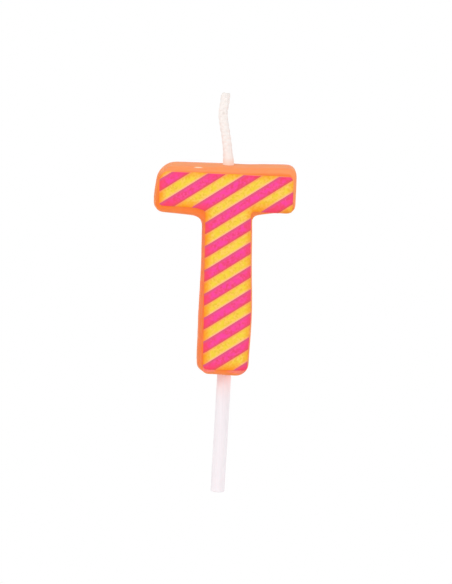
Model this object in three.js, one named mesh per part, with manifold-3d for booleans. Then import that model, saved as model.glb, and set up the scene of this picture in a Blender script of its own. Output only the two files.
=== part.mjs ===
// A letter T birthday candle: an orange wax letter with a striped printed face, a cotton wick set in its top and a
// plastic stick set in its foot.
// Millimetres. X runs to the letter's right, Y to its back and Z up. The origin is where the stick leaves the wax.

import * as THREE from "three";
import { mergeVertices } from "three/addons/utils/BufferGeometryUtils.js";
import Module from "manifold-3d";

const wasm = await Module();
wasm.setup();

const degree = Math.PI / 180;

// The wax letter at its widest section, which lies near its back
const letterHeight = 40;
const letterDepth = 8.5;
const barWidth = 27;
const barHeight = 9.35;
const stemWidth = 9.35; // under the bar
const footWidth = 10;
const barOffset = -1; // from the stick to the middle of the bar
const stemOffset = -0.3; // from the stick to the middle of the stem
const barEndLean = 0.6; // the left end of the bar leans in by this much at the top
const leftArmSag = 0.7; // the underside of the left arm drops by this much towards the stem
const rightArmLift = 0.4; // the underside of the right arm rises by this much away from the stem

// Corners of the letter, seen from the front
const barTopLeftRadius = 4;
const barTopRightRadius = 1.9;
const barLowLeftRadius = 1.6;
const barLowRightRadius = 2.2;
const leftNotchRadius = 2.2;
const rightNotchRadius = 0.9;
const footLeftRadius = 1.6;
const footRightRadius = 2.4;
const cornerSteps = 7;

// Edges of the letter, seen from the side
const backRound = 0.9; // radius of the edge round the back
const mouldDraft = 0.3; // the sides come in by this much towards the front
const footDraft = 0.85; // the left side of the stem comes in by this much at the foot
const bevelWidth = 0.95; // the soft bevel round the front face
const bevelDepth = 0.85;
const bevelBulge = 0.14; // how far the bevel swells beyond a flat one
const edgeSteps = 4;

// The printed face: a yellow film with pink bands of ink on it
const filmThickness = 0.12;
const inkThickness = 0.06;
const filmTopMargin = 1.55; // from the outline of the letter to the edge of the film
const filmFootMargin = 1.3;
const filmLeftEndMargin = 0.75;
const filmRightEndMargin = 0.95;
const filmUndersideMargin = 1.1;
const filmTopTilt = 0.9 * degree; // the film's upper edge falls to the right
const filmUndersideTilt = 2 * degree; // and so do its lower edges under both arms
const filmCornerRadius = 0.7;
const bandAngle = 33.7 * degree; // the bands rise to the right
const bandPitch = 3.81;
const bandWidth = 1.88; // of the pink bands
const bandOffset = -0.68; // from the origin to the middle of the lowest pink band, square to the bands
const smallestBand = 0.02; // cubic millimetres of ink, under which a corner holds no band

// The plastic stick
const stickRadius = 1.35;
const stickFreeLength = 23;
const stickSetLength = 12;
const stickLean = 1.3 * degree; // the free end is left of upright
const stickChamfer = 0.2;
const gripRings = 3; // raised rings that key the stick into the wax
const gripPitch = 3;
const gripHeight = 0.35;
const gripLength = 1.2;
const stickSides = 32;

// The cotton wick
const wickRadius = 0.9;
const wickCollarRadius = 1.2; // where wax has crept up the wick
const wickCollarHeight = 2.2;
const wickCollarDepth = 1.2;
const wickOffset = -0.7; // from the stick to the wick, along the bar
const wickAboveStick = 2; // wax left between the stick and the wick's lower end
const wickSides = 10;
const wickSteps = 44;
// Points along the free wick, from where it leaves the wax: to the right, back and up
const wickFreeRoute = [
  [0.0, 0.0, 0.0],
  [-0.1, 0.0, 1.4],
  [-0.15, 0.02, 2.8],
  [-0.45, 0.08, 5.0],
  [-0.88, 0.14, 7.2],
  [-1.17, 0.14, 8.9],
  [-1.22, 0.06, 10.2],
  [-1.03, 0.0, 11.5],
  [-0.92, 0.0, 12.6],
  [-0.9, 0.0, 13.6],
];

// The wax clears what is cast into it by this much all round
const castGap = 0.3;

// Planes and lines that several pieces share
const backPlane = letterDepth / 2;
const facePlane = -letterDepth / 2;
const barUnderside = letterHeight - barHeight;
const barLeft = barOffset - barWidth / 2;
const barRight = barOffset + barWidth / 2;
const stemLeft = stemOffset - stemWidth / 2;
const stemRight = stemOffset + stemWidth / 2;
const footLeft = stemOffset - footWidth / 2;
const footRight = stemOffset + footWidth / 2;
const widestPlane = backPlane - backRound; // where the draft starts
const bevelPlane = facePlane + bevelDepth; // where the draft ends and the bevel starts

const corner = (x, z, radius) => ({ at: new THREE.Vector2(x, z), radius });

// The corners of the letter at one depth before its draft, anticlockwise from the left of its foot.
// Forward runs from 0 where the draft starts to 1 where it ends.
function letterCorners(forward) {
  return [
    corner(footLeft + (footDraft - mouldDraft) * forward, 0, footLeftRadius),
    corner(footRight, 0, footRightRadius),
    corner(stemRight, barUnderside, rightNotchRadius),
    corner(barRight, barUnderside + rightArmLift, barLowRightRadius),
    corner(barRight, letterHeight, barTopRightRadius),
    corner(barLeft + barEndLean, letterHeight, barTopLeftRadius),
    corner(barLeft, barUnderside, barLowLeftRadius),
    corner(stemLeft, barUnderside - leftArmSag, leftNotchRadius),
  ];
}

// The corners of the film, in the same order. Its edges on the bar tilt about the bar's middle.
// On both sides of the stem it runs over the whole bevel, so its corners there lie clear of the letter.
function filmCorners() {
  const top = (x) => letterHeight - filmTopMargin - Math.tan(filmTopTilt) * (x - barOffset);
  const underside = (x) => barUnderside + filmUndersideMargin - Math.tan(filmUndersideTilt) * (x - barOffset);
  const left = barLeft + filmLeftEndMargin;
  const right = barRight - filmRightEndMargin;
  const leftOfStem = footLeft;
  const rightOfStem = footRight;
  const places = [
    [leftOfStem, filmFootMargin],
    [rightOfStem, filmFootMargin],
    [rightOfStem, underside(rightOfStem)],
    [right, underside(right)],
    [right, top(right)],
    [left, top(left)],
    [left, underside(left)],
    [leftOfStem, underside(leftOfStem)],
  ];
  return places.map(([x, z]) => corner(x, z, filmCornerRadius));
}

// Where two lines meet, each given by a point and a direction
function crossing(p, u, q, v) {
  const t = q.clone().sub(p).cross(v) / u.cross(v);
  return p.clone().addScaledVector(u, t);
}

// The closed outline through the corners, moved in by inset, with every corner rounded.
// Outer corners tighten as the outline moves in, and inner corners open.
function outline(corners, inset = 0) {
  const count = corners.length;
  const directions = corners.map(({ at }, i) => corners[(i + 1) % count].at.clone().sub(at).normalize());
  const inwards = directions.map((d) => new THREE.Vector2(-d.y, d.x));
  const points = [];
  corners.forEach(({ at, radius }, i) => {
    const before = (i + count - 1) % count;
    const [u, v] = [directions[before], directions[i]];
    const sharp = crossing(
      at.clone().addScaledVector(inwards[before], inset), u,
      at.clone().addScaledVector(inwards[i], inset), v,
    );
    const turn = Math.atan2(u.cross(v), u.dot(v));
    const r = radius - Math.sign(turn) * inset;
    const side = new THREE.Vector2(-u.y, u.x).multiplyScalar(Math.sign(turn));
    const start = sharp.clone().addScaledVector(u, -r * Math.tan(Math.abs(turn) / 2));
    const middle = start.clone().addScaledVector(side, r);
    for (let step = 0; step <= cornerSteps; step++) {
      const angle = (turn * step) / cornerSteps;
      points.push(start.clone().rotateAround(middle, angle));
    }
  });
  return points;
}

// A closed solid through rings of equally many points, with a flat cap on the first and the last.
// Each ring is { points, y }: an outline that runs anticlockwise seen from the front, at one depth.
function loft(rings) {
  const count = rings[0].points.length;
  const positions = rings.flatMap(({ points, y }) => points.flatMap((p) => [p.x, y, p.y]));
  const faces = [];
  for (let ring = 0; ring + 1 < rings.length; ring++) {
    for (let i = 0; i < count; i++) {
      const a = ring * count + i;
      const b = ring * count + ((i + 1) % count);
      faces.push(a, b, b + count, a, b + count, a + count);
    }
  }
  const cap = (ring) => THREE.ShapeUtils.triangulateShape(rings[ring].points, []);
  const last = rings.length - 1;
  for (const [a, b, c] of cap(0)) faces.push(a, c, b);
  for (const [a, b, c] of cap(last)) faces.push(last * count + a, last * count + b, last * count + c);
  const geometry = new THREE.BufferGeometry();
  geometry.setAttribute("position", new THREE.Float32BufferAttribute(positions, 3));
  geometry.setIndex(faces);
  return geometry;
}

// Rings of the letter for the points of a profile, each { inset, y }
function letterRings(profile) {
  return profile.map(({ inset, y }) => {
    const forward = THREE.MathUtils.clamp((widestPlane - y) / (widestPlane - bevelPlane), 0, 1);
    return { points: outline(letterCorners(forward), inset), y };
  });
}

// The bevel round the front face, from the side of the letter to the face
function bevelProfile() {
  const profile = [];
  for (let step = 0; step <= edgeSteps; step++) {
    const share = step / edgeSteps;
    const swell = bevelBulge * Math.sin(Math.PI * share);
    profile.push({
      inset: mouldDraft + bevelWidth * share - swell,
      y: facePlane + bevelDepth * (1 - share) - swell,
    });
  }
  return profile;
}

// The rounded edge round the back, from the back face to the widest section
function backProfile() {
  const profile = [];
  for (let step = 0; step <= edgeSteps; step++) {
    const angle = (Math.PI / 2) * (step / edgeSteps);
    profile.push({
      inset: backRound * (1 - Math.sin(angle)),
      y: backPlane - backRound * (1 - Math.cos(angle)),
    });
  }
  return profile;
}

// A profile moved out by a distance square to itself. Its last point lies on the flat face.
function raised(profile, distance) {
  const normals = profile.map(({ inset, y }, i) => {
    const next = profile[i + 1] ?? { inset: inset + 1, y };
    return new THREE.Vector2(next.y - y, -(next.inset - inset)).normalize();
  });
  return profile.map(({ inset, y }, i) => {
    const before = normals[Math.max(i - 1, 0)];
    const sum = before.clone().add(normals[i]);
    const move = sum.multiplyScalar(distance / (1 + before.dot(normals[i])));
    return { inset: inset + move.x, y: y + move.y };
  });
}

// A layer over the front of the letter, from one height above the wax to another
function faceLayer(from, to) {
  const under = raised(bevelProfile(), from).reverse();
  const over = raised(bevelProfile(), to);
  return loft(letterRings([...under, ...over]));
}

// A prism along Y through the whole letter
function prism(points) {
  const reach = letterDepth;
  return loft([{ points, y: reach }, { points, y: -reach }]);
}

// A straight strip as long as the letter's diagonal, for one band of ink
function bandStrip(index) {
  const along = new THREE.Vector2(Math.cos(bandAngle), Math.sin(bandAngle));
  const across = new THREE.Vector2(-along.y, along.x);
  const middle = across.clone().multiplyScalar(bandOffset + index * bandPitch);
  const half = bandWidth / 2;
  const reach = letterHeight + barWidth;
  const place = (a, b) => middle.clone().addScaledVector(along, a * reach).addScaledVector(across, b * half);
  return prism([place(-1, -1), place(1, -1), place(1, 1), place(-1, 1)]);
}

// The stick's radius up its length, grown all round by extra, from its free end to its set end
function stickProfile(extra) {
  const r = stickRadius + extra;
  const bottom = -stickFreeLength - extra;
  const top = stickSetLength + extra;
  const profile = [
    [0, bottom],
    [r - stickChamfer, bottom],
    [r, bottom + stickChamfer],
  ];
  for (let ring = gripRings; ring > 0; ring--) {
    const middle = stickSetLength - ring * gripPitch + gripPitch / 2;
    const half = gripLength / 2 + extra;
    profile.push([r, middle - half], [r + gripHeight, middle], [r, middle + half]);
  }
  profile.push([r, top - stickChamfer], [r - stickChamfer, top], [0, top]);
  return profile;
}

// A solid of revolution about Z
function turned(profile, sides) {
  const points = profile.map(([radius, z]) => new THREE.Vector2(radius, z));
  return new THREE.LatheGeometry(points, sides).rotateX(Math.PI / 2);
}

const stickShape = (extra) => turned(stickProfile(extra), stickSides);

// The height of the wax on top of the bar above the wick, where the mould's draft has brought it down
const wickMouth = letterHeight - mouldDraft / 2;
const wickBottom = stickSetLength + wickAboveStick;

// The collar of wax round the wick, grown all round by extra
function wickCollar(extra) {
  const r = wickCollarRadius + extra;
  const profile = [
    [0, -wickCollarDepth - extra],
    [r, -wickCollarDepth - extra],
    [r, 0],
    [wickRadius, wickCollarHeight],
    [0, wickCollarHeight],
  ];
  return turned(profile, stickSides).translate(wickOffset, 0, wickMouth);
}

// The wick's tube: straight in the wax, then along its free route
function wickTube() {
  const set = new THREE.Vector3(wickOffset, 0, wickBottom);
  const free = wickFreeRoute.map(([x, y, z]) => new THREE.Vector3(wickOffset + x, y, wickMouth + z));
  const halfway = set.clone().lerp(free[0], 0.5);
  const nearMouth = set.clone().lerp(free[0], 0.95);
  const route = new THREE.CatmullRomCurve3([set, halfway, nearMouth, ...free]);
  const section = new THREE.Shape(
    Array.from({ length: wickSides }, (_, i) => {
      const angle = (2 * Math.PI * i) / wickSides;
      return new THREE.Vector2(wickRadius * Math.cos(angle), wickRadius * Math.sin(angle));
    }),
  );
  return new THREE.ExtrudeGeometry(section, { steps: wickSteps, extrudePath: route });
}

// The straight hole that the wick fills
function wickChannel() {
  const radius = wickRadius + castGap;
  const bottom = wickBottom - castGap;
  const profile = [
    [0, bottom],
    [radius, bottom],
    [radius, letterHeight + wickCollarHeight],
    [0, letterHeight + wickCollarHeight],
  ];
  return turned(profile, stickSides).translate(wickOffset, 0, 0);
}

// A closed geometry as a solid that can be joined and cut
function solid(geometry) {
  const bare = new THREE.BufferGeometry();
  bare.setAttribute("position", geometry.getAttribute("position"));
  bare.setIndex(geometry.index);
  const merged = mergeVertices(bare, 1e-4);
  return new wasm.Manifold(
    new wasm.Mesh({
      numProp: 3,
      vertProperties: merged.getAttribute("position").array,
      triVerts: new Uint32Array(merged.index.array),
    }),
  );
}

// A joined or cut solid as a geometry with flat faces
function geometryOf(shape) {
  const { vertProperties, triVerts } = shape.getMesh();
  const geometry = new THREE.BufferGeometry();
  geometry.setAttribute("position", new THREE.BufferAttribute(vertProperties, 3));
  geometry.setIndex(new THREE.BufferAttribute(triVerts, 1));
  const flat = geometry.toNonIndexed();
  flat.computeVertexNormals();
  return flat;
}

const finish = (color, roughness) => new THREE.MeshStandardMaterial({ color, roughness, metalness: 0 });
const orangeWax = finish(0xff8a3d, 0.45);
const yellowFilm = finish(0xfbd043, 0.35);
const pinkInk = finish(0xfb4a98, 0.35);
const waxedCotton = finish(0xf7ede3, 0.8);
const whitePlastic = finish(0xf4eef0, 0.35);

function piece(name, geometry, material) {
  const mesh = new THREE.Mesh(geometry, material);
  mesh.name = name;
  return mesh;
}

// The letter with the holes that the stick and the wick fill
function waxBody() {
  const block = solid(loft(letterRings([...backProfile(), ...bevelProfile()])));
  const socket = solid(stickShape(castGap).rotateY(stickLean));
  const channel = solid(wickChannel()).add(solid(wickCollar(castGap)));
  return piece("wax_body", geometryOf(block.subtract(socket).subtract(channel)), orangeWax);
}

const filmPrism = solid(prism(outline(filmCorners())));

function faceFilm() {
  return piece("face_film", geometryOf(solid(faceLayer(0, filmThickness)).intersect(filmPrism)), yellowFilm);
}

// Every band that crosses the film, numbered from the foot up.
// A notch can split a band, and its parts then have the letters b and c, from the left.
function pinkBands() {
  const ink = solid(faceLayer(filmThickness, filmThickness + inkThickness)).intersect(filmPrism);
  const reach = Math.ceil((letterHeight + barWidth) / bandPitch);
  const bands = [];
  for (let index = -reach; index <= reach; index++) {
    const parts = ink.intersect(solid(bandStrip(index))).decompose();
    const kept = parts.filter((part) => part.volume() > smallestBand);
    kept.sort((a, b) => a.boundingBox().min[0] - b.boundingBox().min[0]);
    const name = `pink_band_${String(index + 1).padStart(2, "0")}`;
    bands.push(...kept.map((part, i) => piece(name + ["", "b", "c", "d"][i], geometryOf(part), pinkInk)));
  }
  return bands;
}

function wick() {
  return piece("wick", geometryOf(solid(wickTube()).add(solid(wickCollar(0)))), waxedCotton);
}

function stick() {
  const mesh = piece("stick", stickShape(0), whitePlastic);
  mesh.rotation.y = stickLean;
  return mesh;
}

const candle = new THREE.Group();
candle.add(waxBody(), faceFilm(), ...pinkBands(), wick(), stick());

export default candle;
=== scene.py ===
"""The looks of a letter T birthday candle: orange wax, a striped face, a cotton wick and a plastic stick.

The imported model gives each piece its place. A mesh is made in millimetres and turned to metres when it
is finished. X runs to the letter's right, Y to its back and Z up, from where the stick leaves the wax.
"""

import logging
import math
from dataclasses import dataclass, field, replace
from enum import Enum
from itertools import groupby
from typing import NamedTuple

import bmesh
import bpy
from bmesh.types import BMEdge, BMesh, BMFace, BMVert
from bpy.types import Material, NodeOutputs, NodeSocket, NodeTree, Object
from mathutils import Matrix, Vector, noise
from mathutils.bvhtree import BVHTree
from mathutils.kdtree import KDTree


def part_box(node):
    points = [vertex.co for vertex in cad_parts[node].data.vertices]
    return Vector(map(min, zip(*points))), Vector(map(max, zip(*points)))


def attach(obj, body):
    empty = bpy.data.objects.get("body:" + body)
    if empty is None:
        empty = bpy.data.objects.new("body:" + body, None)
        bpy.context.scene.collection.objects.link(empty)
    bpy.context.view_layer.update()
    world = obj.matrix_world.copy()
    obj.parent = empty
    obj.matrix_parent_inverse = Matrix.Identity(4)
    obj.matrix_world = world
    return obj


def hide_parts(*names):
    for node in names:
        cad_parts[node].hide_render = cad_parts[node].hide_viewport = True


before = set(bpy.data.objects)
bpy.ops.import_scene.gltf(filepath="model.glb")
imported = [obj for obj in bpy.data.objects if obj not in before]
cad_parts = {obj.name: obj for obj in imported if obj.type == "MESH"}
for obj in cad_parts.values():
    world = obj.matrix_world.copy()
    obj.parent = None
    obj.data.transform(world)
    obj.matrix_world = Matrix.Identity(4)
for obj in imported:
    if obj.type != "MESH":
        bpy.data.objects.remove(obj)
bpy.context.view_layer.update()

log = logging.getLogger("letter_candle")

MM = 0.001  # metres
BODY = "root"
BAND = "pink_band_"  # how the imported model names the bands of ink, before their number
ROUND_STEPS = 10  # segments in a rounded corner or edge
CIRCULAR = 0.5  # the profile of a bevel that is part of a circle
SHARP_ANGLE = 45  # degrees at an edge from which it looks sharp
TOUCHING = 1e-4  # millimetres within which two points are one
ON_PLANE = 1e-5  # millimetres within which a point lies on a cutting plane
X_AXIS = Vector((1, 0, 0))
Y_AXIS = Vector((0, 1, 0))
Z_AXIS = Vector((0, 0, 1))
WHITE = (1.0, 1.0, 1.0, 1.0)


class Slot(Enum):
    """The record's material slots."""

    WAX = "orange_wax"
    FILM = "yellow_print"
    INK = "pink_print"
    COTTON = "waxed_cotton"
    PLASTIC = "white_plastic"


class Layer(Enum):
    """Values that a mesh hands to its material at each point."""

    EDGE = "edge_share"  # how full the coat of print is and how little shade is painted on it: least on its outline, 1 and more further in
    BEVEL = "bevel_share"  # 0 where the print bends most over the bevel, 1 where it lies flat
    ACROSS = "across_mm"  # distance above the lower edge of a band of ink, square to the band
    RELIEF = "relief"  # how far out the wick's surface lies: 1 on the crowns of its strands, less between


class Corner(NamedTuple):
    """A corner of an outline seen from the front, in millimetres."""

    x: float
    z: float
    radius: float

    def moved(self, x: float, z: float) -> "Corner":
        """Gives the same corner, further to the right and up."""
        return Corner(self.x + x, self.z + z, self.radius)


Corners = tuple[Corner, ...]
Pair = tuple[float, float]
Pairs = tuple[Pair, ...]
Triple = tuple[float, float, float]


def box_mm(node: str) -> tuple[Vector, Vector]:
    """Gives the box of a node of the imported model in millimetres.

    Args:
        node: Name of the node.

    Returns:
        The lowest and the highest corner.
    """
    low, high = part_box(node)
    return low / MM, high / MM


def linear(colour: str) -> tuple[float, float, float, float]:
    """Turns an sRGB colour to linear light.

    Args:
        colour: Six hexadecimal digits.

    Returns:
        Red, green and blue in linear light, and an alpha of 1.
    """
    parts = [int(colour[i : i + 2], 16) / 255 for i in (0, 2, 4)]
    red, green, blue = (p / 12.92 if p <= 0.04045 else ((p + 0.055) / 1.055) ** 2.4 for p in parts)
    return red, green, blue, 1.0


def per_metre(size: float) -> float:
    """Gives the scale of a pattern whose features are size millimetres wide."""
    return 1 / (size * MM)


def add_node(
    tree: NodeTree, kind: str, sockets: dict[str | int, object] | None = None, **settings: object
) -> NodeOutputs:
    """Adds a shader node with its settings and links.

    Args:
        tree: Node tree that it goes into.
        kind: Blender's name for the type of node.
        sockets: What each input gets, by its name or number: an output socket to link, or a plain value.
        **settings: Properties of the node itself.

    Returns:
        The new node's outputs.
    """
    node = tree.nodes.new(kind)
    for name, value in settings.items():
        setattr(node, name, value)
    for key, value in (sockets or {}).items():
        if isinstance(value, NodeSocket):
            tree.links.new(value, node.inputs[key])
        else:
            node.inputs[key].default_value = value
    return node.outputs


def empty_material(name: str) -> tuple[Material, NodeTree]:
    """Makes a material without nodes.

    Args:
        name: Name of the material.

    Returns:
        The material and its node tree.
    """
    material = bpy.data.materials.new(name)
    material.use_nodes = True
    material.node_tree.nodes.clear()
    return material, material.node_tree


@dataclass(frozen=True)
class Tone:
    """A colour that comes in over another one while some value runs from start to full."""

    colour: str
    start: float
    full: float
    strength: float | NodeSocket = 1.0  # its share of the colour where it is full
    soft: bool = False  # whether it comes in softly

    def in_metres(self) -> "Tone":
        """Gives the tone for a value in metres, where its own start and full are millimetres."""
        return replace(self, start=self.start * MM, full=self.full * MM)


def toned(tree: NodeTree, colour: NodeSocket | tuple, *tones: tuple[NodeSocket, Tone]) -> NodeSocket:
    """Adds the nodes that lay tones over a colour.

    Args:
        tree: Node tree that they go into.
        colour: The colour under all tones.
        *tones: The value that each tone follows, and the tone, in the order in which they are laid.

    Returns:
        The colour with all tones.
    """
    for value, tone in tones:
        share = add_node(
            tree, "ShaderNodeMapRange",
            {"Value": value, "From Min": tone.start, "From Max": tone.full, "To Max": tone.strength},
            interpolation_type="SMOOTHSTEP" if tone.soft else "LINEAR",
        )
        mixed = add_node(
            tree, "ShaderNodeMix", {0: share["Result"], 6: colour, 7: linear(tone.colour)}, data_type="RGBA"
        )
        colour = mixed[2]
    return colour


@dataclass(frozen=True)
class Spot:
    """A soft-edged spot of another colour. Its place and its reach are in millimetres."""

    colour: str
    middle: Triple
    reach: Triple  # how far it goes each way from its middle
    strength: float
    solid: float = 0.5  # share of its reach that has its full strength
    soft: bool = False

    def over(self, tree: NodeTree, colour: NodeSocket, place: NodeSocket) -> NodeSocket:
        """Adds the nodes that lay the spot over a colour.

        Args:
            tree: Node tree that they go into.
            colour: The colour.
            place: Object coordinates.

        Returns:
            The colour with the spot.
        """
        aside = add_node(
            tree, "ShaderNodeVectorMath", {0: place, 1: Vector(self.middle) * MM}, operation="SUBTRACT"
        )
        ellipse = add_node(
            tree, "ShaderNodeVectorMath", {0: aside[0], 1: Vector(self.reach) * MM}, operation="DIVIDE"
        )
        off = add_node(tree, "ShaderNodeVectorMath", {0: ellipse[0]}, operation="LENGTH")
        tone = Tone(self.colour, 1.0, self.solid, self.strength, self.soft)
        return toned(tree, colour, (off["Value"], tone))


def streaks(
    tree: NodeTree, place: NodeSocket, width: float, length: float, depth: float, detail: float
) -> tuple[NodeSocket, NodeSocket]:
    """Adds the nodes for fine lines that run up a piece.

    Args:
        tree: Node tree that they go into.
        place: Object coordinates.
        width: Width of a line in millimetres.
        length: Length of a line in millimetres.
        depth: Depth of a line in millimetres.
        detail: How many rounds of finer lines it has.

    Returns:
        The pattern, and the direction that it gives the surface.
    """
    along = add_node(
        tree, "ShaderNodeMapping",
        {"Vector": place, "Scale": (per_metre(width), per_metre(width), per_metre(length))},
    )
    lines = add_node(tree, "ShaderNodeTexNoise", {"Vector": along[0], "Scale": 1.0, "Detail": detail})
    bump = add_node(
        tree, "ShaderNodeBump", {"Height": lines["Fac"], "Strength": 0.2, "Distance": depth * MM}
    )
    return lines["Fac"], bump[0]


@dataclass(frozen=True)
class CastParaffin:
    """Paraffin wax, dyed orange and cast: satin, slightly translucent, paler with painted sheen on faces
    that point up, right or down.
    """

    colour: str = "FA863F"
    settled: Tone = Tone("F67A35", 0.4, 0.7)  # where the dye gathered in clouds
    # Painted sheen: a paler colour that stands in for the reflection of the lamps and the white surroundings
    painted_sheen: str = "FE9D68"
    sheen_way: Triple = (0.45, 0.0, 0.9)  # the way that the faces with the painted sheen point
    sheen_full: float = 0.2  # how far a face points that way where the painted sheen is full
    upper_sheen: float = 0.8  # how much of it that side has
    lower_sheen: float = 0.55  # and the undersides
    lower_turn: Pair = (-0.1, -1.0)  # how far up a face points where theirs starts, and where it is full
    rim: Tone = Tone("F49E80", 0.6, 3.4, 0.65)  # paler salmon towards the back, on the faces that round the back edge
    back_turn: Pair = (0.7, 0.97)  # how far back a face points where the rim's colour wanes, and is gone
    spots: tuple[Spot, ...] = (
        Spot("FFE2C4", (-6.36, -3.77, 39.5), (1.0, 0.5, 0.14), 0.85),  # painted highlight: a pale glint on the bar's upper edge
        Spot("FC8484", (-3.4, -3.9, 1.15), (2.0, 1.2, 0.6), 0.7),  # traces of pink ink on the foot
        Spot("FC8484", (2.7, -3.9, 1.05), (2.8, 1.2, 0.6), 0.6),
        Spot("FE7238", (-5.0, -1.5, 15.0), (1.8, 5.0, 26.0), 0.6),  # painted shade: deeper, redder orange along the stem's left side
    )
    smooth: float = 0.49  # roughness in the hollows of the ripples, and on their crests
    rough: float = 0.63
    hollow_crest: Pair = (0.3, 0.7)  # the ripple pattern's values there
    specular: float = 0.05
    scatter: float = 1.1  # how far light travels in the wax, in millimetres
    cloud: float = 5.0  # size of the clouds in the dye
    ripple: float = 1.6  # size of the ripples that the mould left, and their height
    ripple_height: float = 0.06
    grain: float = 0.3  # wax crystals, drawn coarser than the real ones so that they show
    grain_height: float = 0.015

    def make(self) -> Material:
        """Makes the material.

        Returns:
            The material.
        """
        material, tree = empty_material("cast_paraffin")
        given = add_node(tree, "ShaderNodeTexCoord")
        place, normal = given["Object"], given["Normal"]
        cloud, ripple, crystals = (
            add_node(
                tree, "ShaderNodeTexNoise", {"Vector": place, "Scale": per_metre(size), "Detail": detail}
            )["Fac"]
            for size, detail in ((self.cloud, 3.0), (self.ripple, 2.0), (self.grain, 2.0))
        )
        way = add_node(tree, "ShaderNodeSeparateXYZ", {0: normal})
        # Painted sheen: paler where a face points up and to the right, and on the undersides
        facing = add_node(
            tree, "ShaderNodeVectorMath", {0: normal, 1: self.sheen_way}, operation="DOT_PRODUCT"
        )
        upper = add_node(
            tree, "ShaderNodeMapRange",
            {"Value": facing["Value"], "From Max": self.sheen_full, "To Max": self.upper_sheen},
        )
        start, full = self.lower_turn
        lower = add_node(
            tree, "ShaderNodeMapRange",
            {"Value": way["Z"], "From Min": start, "From Max": full, "To Max": self.lower_sheen},
        )
        sheen_share = add_node(tree, "ShaderNodeMath", {0: upper[0], 1: lower[0]}, operation="MAXIMUM")
        bent, flat = self.back_turn
        turned_back = add_node(
            tree, "ShaderNodeMapRange",
            {
                "Value": way["Y"], "From Min": bent, "From Max": flat,
                "To Min": self.rim.strength, "To Max": 0.0,
            },
        )
        dyed = toned(tree, linear(self.colour), (cloud, self.settled))
        sheened = add_node(
            tree, "ShaderNodeMix", {0: sheen_share[0], 6: dyed, 7: linear(self.painted_sheen)}, data_type="RGBA"
        )
        colour = sheened[2]
        for spot in self.spots:
            colour = spot.over(tree, colour, place)
        depth = add_node(tree, "ShaderNodeSeparateXYZ", {0: place})
        rim = replace(self.rim.in_metres(), strength=turned_back["Result"])
        hollow, crest = self.hollow_crest
        satin = add_node(
            tree, "ShaderNodeMapRange",
            {
                "Value": ripple, "From Min": hollow, "From Max": crest,
                "To Min": self.smooth, "To Max": self.rough,
            },
        )
        waves = add_node(
            tree, "ShaderNodeBump", {"Height": ripple, "Strength": 0.25, "Distance": self.ripple_height * MM}
        )
        skin = add_node(
            tree, "ShaderNodeBump",
            {
                "Height": crystals, "Strength": 0.3, "Distance": self.grain_height * MM,
                "Normal": waves[0],
            },
        )
        wax = add_node(
            tree, "ShaderNodeBsdfPrincipled",
            {
                "Base Color": toned(tree, colour, (depth["Y"], rim)),
                "Roughness": satin["Result"], "IOR": 1.44, "Specular IOR Level": self.specular,
                "Subsurface Weight": 0.35, "Subsurface Radius": (1.0, 0.4, 0.15),
                "Subsurface Scale": self.scatter * MM, "Normal": skin[0],
            },
        )
        add_node(tree, "ShaderNodeOutputMaterial", {"Surface": wax[0]})
        return material


@dataclass(frozen=True)
class PrintedCoat:
    """What both printed layers share: fine mottle, and a tint at the outline and on the bevel that is a
    thinner coat and painted shade.
    """

    dark: str
    light: Tone  # the specks
    tint: Tone  # blotches
    edge: Tone  # near its outline, by how full the coat is: a thinner coat, and painted shade
    thin: Tone  # where it bends over the bevel: a thinner coat, and painted shade
    ragged: float = 0.3  # how much the specks make its edge ragged
    mottle: float = 0.42  # size of the specks, drawn coarser than the real ones so that they show
    speck_height: float = 0.01
    blotch: float = 0.8
    roughness: float = 0.45
    specular: float = 0.25
    band_width: float = field(kw_only=True)

    def specks(self, tree: NodeTree) -> tuple[NodeSocket, NodeSocket]:
        """Adds the nodes for the colour of the full coat.

        Args:
            tree: Node tree that they go into.

        Returns:
            The colour, and the height of the specks.
        """
        place = add_node(tree, "ShaderNodeTexCoord")["Object"]
        speck, blotch = (
            add_node(
                tree, "ShaderNodeTexNoise", {"Vector": place, "Scale": per_metre(size), "Detail": detail}
            )["Fac"]
            for size, detail in ((self.mottle, 1.5), (self.blotch, 1.0))
        )
        return toned(tree, linear(self.dark), (speck, self.light), (blotch, self.tint)), speck

    def thinned_and_shaded(self, tree: NodeTree, colour: NodeSocket, height: NodeSocket) -> NodeSocket:
        """Adds the nodes that thin the coat out and paint shade on its outline and the bevel.

        Args:
            tree: Node tree that they go into.
            colour: Colour of the full coat.
            height: Height of the specks.

        Returns:
            The colour with the thinner coat and the painted shade.
        """
        share = add_node(tree, "ShaderNodeAttribute", attribute_name=Layer.EDGE.value)
        ragged = add_node(
            tree, "ShaderNodeMath", {0: height, 1: self.ragged, 2: share["Fac"]}, operation="MULTIPLY_ADD"
        )
        bevel = add_node(tree, "ShaderNodeAttribute", attribute_name=Layer.BEVEL.value)
        return toned(tree, colour, (ragged[0], self.edge), (bevel["Fac"], self.thin))

    def surface(self, tree: NodeTree, colour: NodeSocket, height: NodeSocket) -> None:
        """Adds the shader and the output.

        Args:
            tree: Node tree that they go into.
            colour: Colour of the coat.
            height: Height of the specks.
        """
        bump = add_node(
            tree, "ShaderNodeBump", {"Height": height, "Strength": 0.3, "Distance": self.speck_height * MM}
        )
        coat = add_node(
            tree, "ShaderNodeBsdfPrincipled",
            {
                "Base Color": colour, "Roughness": self.roughness, "IOR": 1.48,
                "Specular IOR Level": self.specular, "Normal": bump[0],
            },
        )
        add_node(tree, "ShaderNodeOutputMaterial", {"Surface": coat[0]})


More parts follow.
